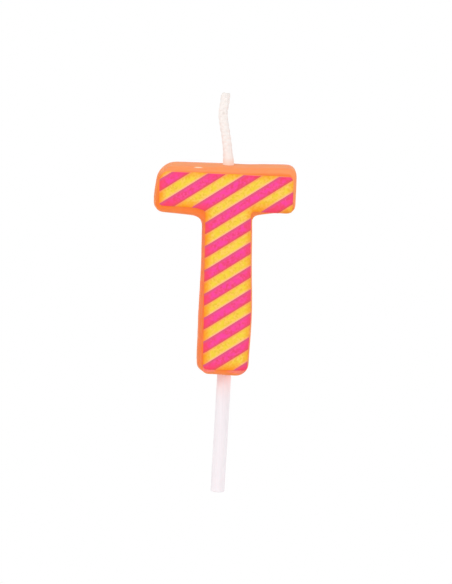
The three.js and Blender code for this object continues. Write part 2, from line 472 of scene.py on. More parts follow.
@dataclass(frozen=True)
class TransferFoil(PrintedCoat):
    """Yellow ink on a clear film, ironed on to the wax: satin, finely mottled, orange where it thins and
    where shade is painted.
    """

    dark: str = "E6BC2E"
    light: Tone = Tone("FCCB5C", 0.35, 0.65)
    tint: Tone = Tone("EECC34", 0.42, 0.62, 0.8)
    edge: Tone = Tone("F48E0C", 1.02, 0.15)
    thin: Tone = Tone("F68C20", 1.0, 0.0, 0.55, soft=True)
    painted_highlight: str = "FAB68F"  # painted highlight: a pale line above each pink band
    highlight_strength: float = 0.9
    blush: str = "FA9468"  # a redder line below each pink band, where the pink ink has bled
    blush_strength: float = 0.7
    hidden_strength: float = 0.9  # how much of that colour the film has under the band itself
    line_width: float = 0.4
    band_pitch: float = field(kw_only=True)

    def make(self) -> Material:
        """Makes the material.

        Returns:
            The material.
        """
        material, tree = empty_material("transfer_foil")
        colour, height = self.specks(tree)
        across = add_node(tree, "ShaderNodeAttribute", attribute_name=Layer.ACROSS.value)
        phase = add_node(
            tree, "ShaderNodeMath", {0: across["Fac"], 1: self.band_pitch}, operation="FLOORED_MODULO"
        )[0]
        under = add_node(tree, "ShaderNodeMath", {0: phase, 1: self.band_width}, operation="LESS_THAN")
        width, pitch, reach = self.band_width, self.band_pitch, self.line_width
        # The painted highlight above each band, and the redder line below the next one
        above = Tone(self.painted_highlight, width + reach, width + reach / 4, self.highlight_strength)
        below = Tone(self.blush, pitch - reach, pitch, self.blush_strength)
        hidden = Tone(self.blush, 0.0, 1.0, self.hidden_strength)
        colour = self.thinned_and_shaded(tree, toned(tree, colour, (phase, above)), height)
        colour = toned(tree, colour, (phase, below), (under[0], hidden))
        self.surface(tree, colour, height)
        return material


@dataclass(frozen=True)
class OverprintedInk(PrintedCoat):
    """Pink ink printed over the yellow film: satin, finely mottled, redder where it thins and where shade is
    painted.
    """

    dark: str = "E83C6E"
    light: Tone = Tone("F44C90", 0.35, 0.65)
    tint: Tone = Tone("F4409E", 0.42, 0.62, 0.8)
    edge: Tone = Tone("F23E5C", 1.15, 0.15)
    thin: Tone = Tone("F4644C", 1.0, 0.0, 0.55, soft=True)
    lower_seam: str = "DC5244"  # the ink is redder along the lower edge of a band
    upper_seam: str = "DA5278"  # and greyer along the upper one
    seam_width: float = 0.5
    seam_strength: float = 0.9

    def make(self) -> Material:
        """Makes the material.

        Returns:
            The material.
        """
        material, tree = empty_material("overprinted_ink")
        colour, height = self.specks(tree)
        across = add_node(tree, "ShaderNodeAttribute", attribute_name=Layer.ACROSS.value)["Fac"]
        width, seam = self.band_width, self.seam_width
        lower = Tone(self.lower_seam, seam, 0.0, self.seam_strength)
        upper = Tone(self.upper_seam, width - seam, width - seam / 2, self.seam_strength)
        colour = toned(tree, self.thinned_and_shaded(tree, colour, height), (across, lower), (across, upper))
        self.surface(tree, colour, height)
        return material


@dataclass(frozen=True)
class PlaitedCotton:
    """Bleached cotton yarn, plaited and dipped in wax: cream, with painted shade between strands, peach at
    its foot.
    """

    # Painted shade: greyer between the strands than on their crowns, by the relief
    groove_shade: str = "E9E2DD"
    crown: Tone = Tone("F1EAE6", 0.35, 0.8, soft=True)
    stain: Tone = Tone("FCE0D0", 41.2, 39.9)  # orange wax drawn up by the yarn, by its height
    tip: Tone = Tone("E6DFDA", 52.7, 53.7, 0.6)
    grey_spots: tuple[Spot, ...] = (
        Spot("DAD2CB", (-0.97, -0.55, 52.4), (0.45, 0.45, 0.45), 0.5, 0.0, soft=True),  # grey at the tip
        Spot("DAD2CB", (-1.85, -0.6, 49.7), (0.5, 0.5, 0.5), 0.5, 0.0, soft=True),  # greyer where the wick bends
    )
    roughness: float = 0.8
    specular: float = 0.2
    scatter: float = 0.4  # how far light travels in the yarn, in millimetres
    fibre: float = 0.09  # width of a fibre bundle
    fibre_length: float = 1.2
    fibre_depth: float = 0.02

    def make(self) -> Material:
        """Makes the material.

        Returns:
            The material.
        """
        material, tree = empty_material("plaited_cotton")
        place = add_node(tree, "ShaderNodeTexCoord")["Object"]
        relief = add_node(tree, "ShaderNodeAttribute", attribute_name=Layer.RELIEF.value)
        height = add_node(tree, "ShaderNodeSeparateXYZ", {0: place})["Z"]
        colour = toned(
            tree, linear(self.groove_shade), (relief["Fac"], self.crown),
            (height, self.stain.in_metres()), (height, self.tip.in_metres()),
        )
        for grey_spot in self.grey_spots:
            colour = grey_spot.over(tree, colour, place)
        _, fibres = streaks(tree, place, self.fibre, self.fibre_length, self.fibre_depth, detail=2.0)
        cotton = add_node(
            tree, "ShaderNodeBsdfPrincipled",
            {
                "Base Color": colour, "Roughness": self.roughness, "IOR": 1.45,
                "Specular IOR Level": self.specular, "Subsurface Weight": 0.1,
                "Subsurface Radius": (1.0, 0.9, 0.85), "Subsurface Scale": self.scatter * MM,
                "Sheen Weight": 0.1, "Normal": fibres,
            },
        )
        add_node(tree, "ShaderNodeOutputMaterial", {"Surface": cotton[0]})
        return material


@dataclass(frozen=True)
class DrawnPolypropylene:
    """Milky polypropylene rod, drawn through a die: fine lines run up it, and a painted pink glow near the
    wax stands in for its light.
    """

    colour: str = "F2EBEE"
    # Painted glow: a pink tint near the wax that stands in for light from the wax
    painted_glow: str = "F8D0CC"
    glow_reach: float = 9.0  # how far down the glow reaches
    glow_fall: float = 3.0  # the power of the height by which it falls off
    carried: str = "FF8080"  # painted glow: emission for light that the stick carries down from the wax, and how much of it
    shine: float = 0.1
    streak: Tone = Tone("E8DFE3", 0.5, 0.7, 0.4)
    roughness: float = 0.34
    specular: float = 0.15
    scatter: float = 1.0  # how far light travels in the plastic, in millimetres
    line: float = 0.16  # width of a draw line
    line_length: float = 12.0
    line_depth: float = 0.02

    def make(self) -> Material:
        """Makes the material.

        Returns:
            The material.
        """
        material, tree = empty_material("drawn_polypropylene")
        place = add_node(tree, "ShaderNodeTexCoord")["Object"]
        height = add_node(tree, "ShaderNodeSeparateXYZ", {0: place})
        above = add_node(
            tree, "ShaderNodeMapRange",
            {"Value": height["Z"], "From Min": -self.glow_reach * MM, "From Max": 0.0},
        )
        near = add_node(
            tree, "ShaderNodeMath", {0: above["Result"], 1: self.glow_fall}, operation="POWER"
        )[0]
        lit = add_node(tree, "ShaderNodeMath", {0: near, 1: self.shine}, operation="MULTIPLY")
        lines, drawn = streaks(tree, place, self.line, self.line_length, self.line_depth, detail=1.0)
        glowing = add_node(
            tree, "ShaderNodeMix", {0: near, 6: linear(self.colour), 7: linear(self.painted_glow)}, data_type="RGBA"
        )
        plastic = add_node(
            tree, "ShaderNodeBsdfPrincipled",
            {
                "Base Color": toned(tree, glowing[2], (lines, self.streak)),
                "Roughness": self.roughness, "IOR": 1.49, "Specular IOR Level": self.specular,
                "Subsurface Weight": 0.3, "Subsurface Radius": (1.0, 0.9, 0.9),
                "Subsurface Scale": self.scatter * MM, "Emission Color": linear(self.carried),
                "Emission Strength": lit[0], "Normal": drawn,
            },
        )
        add_node(tree, "ShaderNodeOutputMaterial", {"Surface": plastic[0]})
        return material


def square_to(angle: float) -> Vector:
    """Gives the direction square to a line that rises to the right by an angle in degrees."""
    return Vector((-math.sin(math.radians(angle)), 0, math.cos(math.radians(angle))))


def heading(line: list[Vector], i: int) -> Vector:
    """Gives the way from the point before point i of a line to the point after it."""
    return line[min(i + 1, len(line) - 1)] - line[max(i - 1, 0)]


def nearest(places: list[Vector]) -> KDTree:
    """Makes a tree that finds the nearest of some points.

    Args:
        places: The points.

    Returns:
        The tree, which numbers them in this order.
    """
    tree = KDTree(len(places))
    for i, place in enumerate(places):
        tree.insert(place, i)
    tree.balance()
    return tree


def rounded_face(corners: list[Corner], y: float) -> BMesh:
    """Makes one flat face square to Y, with rounded corners.

    Args:
        corners: Its corners, anticlockwise seen from the front.
        y: Its depth.

    Returns:
        A bmesh with that face, which faces the front.
    """
    bm = bmesh.new()
    verts = [bm.verts.new((corner.x, y, corner.z)) for corner in corners]
    bm.faces.new(verts)
    for i, (vert, corner) in enumerate(zip(verts, corners)):
        before, after = corners[i - 1], corners[(i + 1) % len(corners)]
        arriving = Vector((corner.x - before.x, corner.z - before.z))
        leaving = Vector((after.x - corner.x, after.z - corner.z))
        turn = arriving.angle(leaving)
        bmesh.ops.bevel(
            bm, geom=[vert], offset=corner.radius * math.tan(turn / 2), offset_type="OFFSET",
            affect="VERTICES", segments=math.ceil(ROUND_STEPS * turn / (math.pi / 2)), profile=CIRCULAR,
            material=-1,
        )
    return bm


def placed(name: str, data: bpy.types.ID) -> Object:
    """Puts an object into the scene.

    Args:
        name: Name of the object.
        data: Its mesh, lamp or camera.

    Returns:
        The object.
    """
    item = bpy.data.objects.new(name, data)
    bpy.context.scene.collection.objects.link(item)
    return item


def as_object(bm: BMesh, name: str) -> Object:
    """Turns a bmesh to an object in the scene.

    Args:
        bm: The bmesh, which is freed.
        name: Name of the object and its mesh.

    Returns:
        The object.
    """
    mesh = bpy.data.meshes.new(name)
    bm.to_mesh(mesh)
    bm.free()
    return placed(name, mesh)


def with_modifier(bm: BMesh, kind: str, **settings: object) -> BMesh:
    """Puts a bmesh through one modifier.

    Args:
        bm: The bmesh, which is freed.
        kind: Blender's name for the type of modifier.
        **settings: Properties of the modifier.

    Returns:
        A new bmesh with the result.
    """
    holder = as_object(bm, "in_work")
    modifier = holder.modifiers.new("in_work", kind)
    for name, value in settings.items():
        setattr(modifier, name, value)
    shaped = holder.evaluated_get(bpy.context.evaluated_depsgraph_get())
    result = bmesh.new()
    result.from_mesh(shaped.to_mesh())
    shaped.to_mesh_clear()
    bpy.data.meshes.remove(holder.data)  # and the object with it
    return result


def cut_away(bm: BMesh, tool: BMesh) -> BMesh:
    """Cuts one closed shape out of another.

    Args:
        bm: The shape that is cut, which is freed.
        tool: The shape that is taken away, which is freed.

    Returns:
        A new bmesh with what is left.
    """
    holder = as_object(tool, "tool")
    result = with_modifier(bm, "BOOLEAN", object=holder, operation="DIFFERENCE", solver="EXACT")
    bpy.data.meshes.remove(holder.data)
    return result


def softened(bm: BMesh, voxel: float, rounds: int) -> BMesh:
    """Gives a closed shape an even mesh and smooths it.

    Args:
        bm: The shape, which is freed. Its parts may overlap, and are fused.
        voxel: Size of the faces of the even mesh.
        rounds: How many times it is smoothed.

    Returns:
        A new bmesh with the result.
    """
    bm = with_modifier(bm, "REMESH", mode="VOXEL", voxel_size=voxel, use_smooth_shade=True)
    for _ in range(rounds):
        bmesh.ops.smooth_vert(
            bm, verts=bm.verts, factor=0.5, use_axis_x=True, use_axis_y=True, use_axis_z=True
        )
    return bm


def sliced(bm: BMesh, distance: float, outward: Vector, trim: bool = False) -> None:
    """Cuts the faces of a bmesh along a plane.

    Args:
        bm: The bmesh.
        distance: How far the plane lies from the origin, along outward.
        outward: Direction square to the plane.
        trim: Whether what lies beyond the plane is taken away.
    """
    geometry = bm.verts[:] + bm.edges[:] + bm.faces[:]
    bmesh.ops.bisect_plane(
        bm, geom=geometry, dist=ON_PLANE, plane_co=outward * distance, plane_no=outward, clear_outer=trim
    )


def turned(profile: list[Pair], steps: int) -> BMesh:
    """Turns a profile about Z into a closed shape.

    Args:
        profile: Radius and height of each point. The first and the last lie on the axis.
        steps: Number of sides.

    Returns:
        A bmesh with the shape.
    """
    bm = bmesh.new()
    verts = [bm.verts.new((radius, 0, height)) for radius, height in profile]
    edges = [bm.edges.new(pair) for pair in zip(verts, verts[1:])]
    bmesh.ops.spin(
        bm, geom=verts + edges, cent=(0, 0, 0), axis=Z_AXIS, angle=2 * math.pi, steps=steps, use_merge=True
    )
    bmesh.ops.remove_doubles(bm, verts=bm.verts, dist=TOUCHING)
    bmesh.ops.recalc_face_normals(bm, faces=bm.faces)
    return bm


def finished(bm: BMesh, name: str, material: Material, nodes: list[str]) -> None:
    """Turns a bmesh in millimetres to a piece of the candle in metres, riding on the candle's body.

    Args:
        bm: The bmesh, which is freed.
        name: Name of the piece.
        material: Its material.
        nodes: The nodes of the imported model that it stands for.
    """
    bmesh.ops.scale(bm, vec=(MM, MM, MM), verts=bm.verts)
    piece = as_object(bm, name)
    mesh = piece.data
    mesh.shade_smooth()
    mesh.set_sharp_from_angle(angle=math.radians(SHARP_ANGLE))
    mesh.materials.append(material)
    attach(piece, BODY)
    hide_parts(*nodes)
    log.info("%s: %d faces, stands for %s", name, len(mesh.polygons), ", ".join(nodes))


@dataclass
class PlasticStick:
    """The stick: a blunt rod below the letter, with grip rings in the wax. Sizes are in millimetres."""

    radius: float = 1.35
    free_length: float = 23.0
    set_length: float = 12.0
    lean: float = 1.3  # degrees, with the free end to the left
    end_round: float = 0.22
    end_steps: int = 5
    grip_rings: int = 3
    grip_pitch: float = 3.0
    grip_height: float = 0.35
    grip_length: float = 1.2
    sides: int = 72

    def rod(self, clearance: float = 0.0) -> BMesh:
        """Makes the shape of the rod.

        Args:
            clearance: How much larger it is all round.

        Returns:
            A bmesh with the shape, in place.
        """
        r = self.radius + clearance
        end, head = self.free_length + clearance, self.set_length + clearance
        half = self.grip_length / 2 + clearance
        profile = [(0.0, -end), (r, -end)]
        for ring in range(self.grip_rings, 0, -1):
            middle = self.set_length - (ring - 0.5) * self.grip_pitch
            profile += [(r, middle - half), (r + self.grip_height, middle), (r, middle + half)]
        profile += [(r, head), (0.0, head)]
        bm = turned(profile, self.sides)
        rims = [
            edge for edge in bm.edges
            if all(abs(vert.co.z + end) < TOUCHING and vert.co.xy.length > r / 2 for vert in edge.verts)
        ]
        bmesh.ops.bevel(
            bm, geom=rims, offset=self.end_round, affect="EDGES", segments=self.end_steps,
            profile=CIRCULAR, material=-1,
        )
        lean = Matrix.Rotation(math.radians(self.lean), 3, "Y")
        bmesh.ops.rotate(bm, cent=(0, 0, 0), matrix=lean, verts=bm.verts)
        return bm

    def build(self) -> None:
        """Makes the piece and dresses it."""
        finished(self.rod(), "plastic_stick", DrawnPolypropylene().make(), ["stick"])


@dataclass
class CottonWick:
    """The wick: plaited strands that run down into the stem, with wax drawn up its foot. In millimetres."""

    half_width: float = 0.9
    half_depth: float = 0.74
    strands: int = 3
    strand_radius: float = 0.5
    strand_sides: int = 10
    depth_swing: float = 0.2
    wax_fill: float = 0.88  # how far the wax evens out the strands
    plait_pitch: float = 3.6
    across: float = -0.7  # from the stick to the wick, along the bar
    bottom: float = 14.0
    mouth: float = 39.85  # where it leaves the wax
    straight: float = 6.0  # how far below its mouth it starts to bend
    collar_radius: float = 1.07
    collar_height: float = 3.2
    collar_depth: float = 1.2
    collar_shift: float = 0.1  # to the right of the wick
    collar_sides: int = 48
    collar_belly: Pair = (0.93, 0.35)  # share of the collar's radius, and of its height
    collar_neck: Pair = (0.75, 0.75)  # share of the wick's half width, and of the height
    collar_tip: float = 0.4  # share of the wick's half width
    step: float = 0.2  # along the strands
    voxel: float = 0.085
    softening: int = 4  # rounds of smoothing
    core: float = 0.01  # the wick's surface counts as at least so far from its centre line
    # Points along the free wick, from where it leaves the wax: to the right, back and up
    free_route: tuple[Triple, ...] = (
        (0.0, 0.0, 0.0),
        (-0.1, 0.0, 1.4),
        (-0.15, 0.02, 2.8),
        (-0.45, 0.08, 5.0),
        (-0.88, 0.14, 7.2),
        (-1.17, 0.14, 8.9),
        (-1.22, 0.06, 10.2),
        (-1.03, 0.0, 11.5),
        (-0.92, 0.0, 12.6),
        (-0.9, 0.0, 13.4),
    )
    uneven: float = 2.5  # a stretch of the route so much shorter than with the one before starts straight

    def route(self) -> list[Vector]:
        """Gives the wick's centre line.

        Returns:
            Points from its lower end to its tip, one step apart.
        """
        foot = Vector((self.across, 0, self.mouth))
        knots = [Vector((self.across, 0, self.bottom)), foot - Z_AXIS * self.straight]
        knots += [foot + Vector(point) for point in self.free_route]
        ends = [2 * knots[0] - knots[1], *knots, 2 * knots[-1] - knots[-2]]
        line = []
        for a, b, c, d in zip(ends, ends[1:], ends[2:], ends[3:]):
            count = max(1, round((c - b).length / self.step))
            leave, arrive = (c - a) / 2, (d - b) / 2
            if (c - a).length > self.uneven * (c - b).length:
                leave = c - b
            for i in range(count):
                t = i / count
                line.append(
                    (2 * t**3 - 3 * t**2 + 1) * b + (t**3 - 2 * t**2 + t) * leave
                    + (3 * t**2 - 2 * t**3) * c + (t**3 - t**2) * arrive
                )
        return [*line, knots[-1]]

    def strand(self, bm: BMesh, line: list[Vector], phase: float) -> None:
        """Adds one strand of the plait.

        Args:
            bm: The bmesh that it goes into.
            line: The wick's centre line.
            phase: Where in the plait the strand starts, in radians.
        """
        swing = self.half_width - self.strand_radius
        places = []
        for i, point in enumerate(line):
            ahead = heading(line, i).normalized()
            side = (X_AXIS - ahead * X_AXIS.dot(ahead)).normalized()
            turn = 2 * math.pi * i * self.step / self.plait_pitch + phase
            back = ahead.cross(side)
            places.append(
                point + side * swing * math.sin(turn) + back * self.depth_swing * math.sin(2 * turn)
            )
        self.sweep(bm, places)

    def sweep(self, bm: BMesh, places: list[Vector]) -> None:
        """Draws a circle along a line of points and closes both ends.

        Args:
            bm: The bmesh that the tube goes into.
            places: The points.
        """
        stations = [
            Matrix.Translation(place) @ heading(places, i).to_track_quat("Z", "Y").to_matrix().to_4x4()
            for i, place in enumerate(places)
        ]
        ring = bmesh.ops.create_circle(
            bm, cap_ends=True, radius=self.strand_radius, segments=self.strand_sides, matrix=stations[0]
        )["verts"]
        edges = list({edge for vert in ring for edge in vert.link_edges if edge.other_vert(vert) in ring})
        for before, after in zip(stations, stations[1:]):
            geometry = bmesh.ops.extrude_edge_only(bm, edges=edges)["geom"]
            ring = [item for item in geometry if isinstance(item, BMVert)]
            edges = [
                item for item in geometry
                if isinstance(item, BMEdge) and all(vert in ring for vert in item.verts)
            ]
            bmesh.ops.transform(bm, matrix=after @ before.inverted(), verts=ring)
        bmesh.ops.contextual_create(bm, geom=edges)

    def cone(self, clearance: float) -> list[Pair]:
        """Gives the side of the wax cone round the wick's foot.

        Args:
            clearance: How much larger it is all round.

        Returns:
            Radius and height of its points, from its lower end to the middle of its top.
        """
        r = self.collar_radius + clearance
        (belly, belly_height), (neck, neck_height) = self.collar_belly, self.collar_neck
        return [
            (r, self.mouth - self.collar_depth - clearance),
            (r, self.mouth),
            (r * belly, self.mouth + self.collar_height * belly_height),
            (self.half_width * neck + clearance, self.mouth + self.collar_height * neck_height),
            (self.half_width * self.collar_tip + clearance, self.mouth + self.collar_height),
            (0.0, self.mouth + self.collar_height),
        ]

    def collar(self, profile: list[Pair]) -> BMesh:
        """Turns a profile about the axis of the wax cone.

        Args:
            profile: Radius and height of each point.

        Returns:
            A bmesh with the shape, in place.
        """
        bm = turned(profile, self.collar_sides)
        bmesh.ops.translate(bm, vec=(self.across + self.collar_shift, 0, 0), verts=bm.verts)
        return bm

    def channel(self, clearance: float) -> BMesh:
        """Makes the hole that the wick fills.

        Args:
            clearance: How much larger it is all round.

        Returns:
            A bmesh with the shape, in place.
        """
        cone = self.cone(clearance)
        r = self.half_width + self.collar_shift + clearance
        bottom = self.bottom - clearance
        return self.collar([(0.0, bottom), (r, bottom), (r, cone[0][1]), *cone])

    def build(self) -> None:
        """Makes the piece and dresses it."""
        line = self.route()
        plait = bmesh.new()
        for k in range(self.strands):
            self.strand(plait, line, 2 * math.pi * k / self.strands)
        collar = as_object(self.collar([(0.0, self.mouth - self.collar_depth), *self.cone(0.0)]), "collar")
        plait.from_mesh(collar.data)
        bpy.data.meshes.remove(collar.data)
        bmesh.ops.recalc_face_normals(plait, faces=plait.faces)
        fused = softened(plait, self.voxel, self.softening)
        tree = nearest(line)
        relief = fused.verts.layers.float.new(Layer.RELIEF.value)
        for vert in fused.verts:
            middle, i, _ = tree.find(vert.co)
            ahead = heading(line, i).normalized()
            out = vert.co - middle
            out -= ahead * out.dot(ahead)
            distance = max(out.length, self.core)
            coated = math.hypot(self.half_width * out.x, self.half_depth * out.y) / distance
            share = distance / coated
            vert[relief] = share
            if vert.co.z > self.mouth:
                vert.co += out * self.wax_fill * min(share, 1) ** 2 * max(1 / share - 1, 0)
        finished(fused, "cotton_wick", PlaitedCotton().make(), ["wick"])


@dataclass
class WaxLetter:
    """The letter: one casting of wax round the stick and the wick. Sizes are in millimetres."""

    bar_width: float = 27.0
    bar_height: float = 9.35
    stem_width: float = 9.35
    foot_width: float = 10.0
    bar_offset: float = -1.0
    stem_offset: float = -0.3
    left_arm_sag: float = 0.7
    back_round: float = 0.9
    mould_draft: float = 0.3
    foot_draft: float = 0.85
    bevel_width: float = 0.95
    bevel_depth: float = 0.85
    bevel_bulge: float = 0.14
    # The corners of the outline, each by how far it lies to the right of and above its place on an even
    # letter, and its radius
    foot_left: Corners = (Corner(0.08, -0.05, 1.4),)
    foot_middle: Corners = (Corner(0.3, -0.11, 5.0), Corner(2.0, -0.26, 1.5))
    foot_right: Corners = (Corner(0.0, 0.0, 2.6),)
    notch_right: Corners = (Corner(0.0, -0.28, 0.8), Corner(3.7, 0.28, 6.0))
    low_right: Corners = (Corner(0.0, 0.44, 1.8),)
    high_right: Corners = (Corner(0.0, 0.08, 1.7), Corner(-3.0, 0.14, 15.0), Corner(-9.0, 0.0, 15.0))
    high_left: Corners = (Corner(0.75, 0.0, 3.7),)
    low_left: Corners = (Corner(0.03, 3.2, 8.0), Corner(0.04, 0.0, 1.6))
    notch_left: Corners = (Corner(-0.12, 0.0, 2.2),)
    # How far both sides of the stem bulge: pairs of a height and a distance, from the foot up
    left_bulges: Pairs = ((4, 0.14), (10, 0.17), (16, 0.07), (22, 0.02), (26.5, 0.15))
    right_bulges: Pairs = ((4, 0.11), (7.5, 0.26), (11.8, 0.47), (18, 0.28), (25, 0.08))
    bulge_radius: float = 15.0
    voxel: float = 0.28
    softening: int = 6  # rounds of smoothing
    wave: float = 5.5  # the soft unevenness of a casting: its size and its height
    wave_height: float = 0.07
    dimple: float = 1.7
    dimple_height: float = 0.02
    creep_reach: float = 0.3  # how far round the stick and the wick the wax has crept along them
    creep_zone: float = 1.0  # how far from the ends of the letter it can creep
    stick_creep: float = 0.26  # and how far it has crept
    wick_creep: float = 0.08
    contact: float = 0.01  # hairline between the wax and what is cast into it
    low: Vector = field(default_factory=lambda: box_mm("wax_body")[0])
    high: Vector = field(default_factory=lambda: box_mm("wax_body")[1])

    @property
    def bar_underside(self) -> float:
        """The height of the bar's underside."""
        return self.high.z - self.bar_height

    @property
    def left_underside(self) -> float:
        """The height of the left arm's underside, where it meets the stem."""
        return self.bar_underside - self.left_arm_sag

    @property
    def widest_plane(self) -> float:
        """The depth at which the draft starts."""
        return self.high.y - self.back_round

    @property
    def bevel_plane(self) -> float:
        """The depth at which the draft ends and the front bevel starts."""
        return self.low.y + self.bevel_depth

    def corners(self) -> list[Corner]:
        """Gives the letter's outline at its widest.

        Returns:
            Its corners, anticlockwise from the left of the foot.
        """
        left, right = self.bar_offset - self.bar_width / 2, self.high.x
        top, under, left_under = self.high.z, self.bar_underside, self.left_underside
        even = [
            (self.stem_side(-1, 0), 0, self.foot_left),
            (self.stem_offset, 0, self.foot_middle),
            (self.stem_side(1, 0), 0, self.foot_right),
            *(
                (self.stem_side(1, z), z, (Corner(bulge, 0, self.bulge_radius),))
                for z, bulge in self.right_bulges
            ),
            (self.stem_side(1, under), under, self.notch_right),
            (right, under, self.low_right),
            (right, top, self.high_right),
            (left, top, self.high_left),
            (left, under, self.low_left),
            (self.stem_side(-1, left_under), left_under, self.notch_left),
            *(
                (self.stem_side(-1, z), z, (Corner(-bulge, 0, self.bulge_radius),))
                for z, bulge in self.left_bulges[::-1]
            ),
        ]
        return [corner.moved(x, z) for x, z, corners in even for corner in corners]

    def stem_side(self, side: int, z: float) -> float:
        """Gives the straight line of one side of the stem.

        Args:
            side: -1 for the left side, 1 for the right side.
            z: The height.

        Returns:
            Where that line is, along X.
        """
        width = self.foot_width + (self.stem_width - self.foot_width) * z / self.bar_underside
        return self.stem_offset + side * width / 2

    def block(self) -> BMesh:
        """Makes the letter's block, with its round back edge, its draft and its front bevel.

        Returns:
            A closed bmesh.
        """
        bm = rounded_face(self.corners(), self.widest_plane)
        bm.faces.ensure_lookup_table()
        back = bm.faces[0]
        geometry = bmesh.ops.extrude_face_region(bm, geom=[back])["geom"]
        front = next(item for item in geometry if isinstance(item, BMFace))
        steps = range(ROUND_STEPS + 1)
        quarter = [math.pi / 2 * i / ROUND_STEPS for i in steps]
        self.draw_in(bm, back, [
            (self.back_round * (1 - math.cos(turn)), self.widest_plane + self.back_round * math.sin(turn))
            for turn in quarter
        ])
        bevel = [(i / ROUND_STEPS, self.bevel_bulge * math.sin(math.pi * i / ROUND_STEPS)) for i in steps]
        self.draw_in(bm, front, [(0.0, self.widest_plane), (self.mould_draft, self.bevel_plane), *(
            (
                self.mould_draft + self.bevel_width * share - swell,
                self.low.y + self.bevel_depth * (1 - share) - swell,
            )
            for share, swell in bevel[1:]
        )])
        bmesh.ops.remove_doubles(bm, verts=bm.verts, dist=TOUCHING)
        bmesh.ops.recalc_face_normals(bm, faces=bm.faces)
        for vert in bm.verts:
            if vert.co.x < self.stem_offset and vert.co.z < self.left_underside:
                forward = (self.widest_plane - vert.co.y) / (self.widest_plane - self.bevel_plane)
                share = min(max(forward, 0), 1) * (1 - vert.co.z / self.left_underside)
                vert.co.x += (self.foot_draft - self.mould_draft) * share
        return bm

    def draw_in(self, bm: BMesh, cap: BMFace, profile: list[Pair]) -> None:
        """Shrinks a cap step by step while it moves along Y, which leaves a wall behind it.

        Args:
            bm: The bmesh.
            cap: The face that shrinks.
            profile: The inset and the depth at each step. The first is where the cap is now.
        """
        for (inset, _), (next_inset, y) in zip(profile, profile[1:]):
            bmesh.ops.inset_region(
                bm, faces=[cap], thickness=next_inset - inset, use_even_offset=True, use_boundary=True
            )
            for vert in cap.verts:
                vert.co.y = y

    def cast(self, stick: PlasticStick, wick: CottonWick) -> BMesh:
        """Gives the block the soft, uneven surface of a casting.

        Args:
            stick: The stick that stands in the foot.
            wick: The wick that stands in the bar.

        Returns:
            A closed bmesh.
        """
        bm = softened(self.block(), self.voxel, self.softening)
        bm.normal_update()
        moves = [
            vert.normal * (
                noise.noise(vert.co / self.wave) * self.wave_height
                + noise.noise(vert.co / self.dimple) * self.dimple_height
            )
            for vert in bm.verts
        ]
        for vert, move in zip(bm.verts, moves):
            vert.co += move
            at_stick = max(vert.co.xy.length - stick.radius, 0)
            at_wick = max((vert.co.xy - Vector((wick.across, 0))).length - wick.collar_radius, 0)
            if vert.co.z < self.creep_zone:
                vert.co.z -= self.stick_creep * math.exp(-at_stick / self.creep_reach)
            if vert.co.z > self.high.z - self.creep_zone:
                vert.co.z += self.wick_creep * math.exp(-at_wick / self.creep_reach)
        return bm

    def build(self, stick: PlasticStick, wick: CottonWick) -> BVHTree:
        """Makes the piece and dresses it.

        Args:
            stick: The stick that stands in the foot.
            wick: The wick that stands in the bar.

        Returns:
            The surface of the wax before the holes are cut, for the print to lie on.
        """
        bm = self.cast(stick, wick)
        surface = BVHTree.FromBMesh(bm)
        bm = cut_away(bm, stick.rod(self.contact))
        bm = cut_away(bm, wick.channel(self.contact))
        finished(bm, "wax_letter", CastParaffin().make(), ["wax_body"])
        return surface


class Rim:
    """The outline of a flat face, sampled closely."""

    def __init__(self, bm: BMesh, spacing: float = 0.05) -> None:
        """Samples the outline.

        Args:
            bm: The bmesh with the face, and nothing else.
            spacing: Distance between the samples, in millimetres.
        """
        bm.faces.ensure_lookup_table()
        face = bm.faces[0]
        face.normal_update()
        places, self.outwards = [], []
        for loop in face.loops:
            start, end = loop.vert.co, loop.link_loop_next.vert.co
            count = max(1, math.ceil((end - start).length / spacing))
            places += [start.lerp(end, i / count) for i in range(count)]
            self.outwards += [(end - start).cross(face.normal).normalized()] * count
        self.tree = nearest(places)

    def __call__(self, place: Vector) -> tuple[Vector, float]:
        """Finds the nearest point of the outline.

        Args:
            place: A point in the face's plane.

        Returns:
            The direction out of the face there, and the distance.
        """
        _, index, distance = self.tree.find(place)
        return self.outwards[index], distance


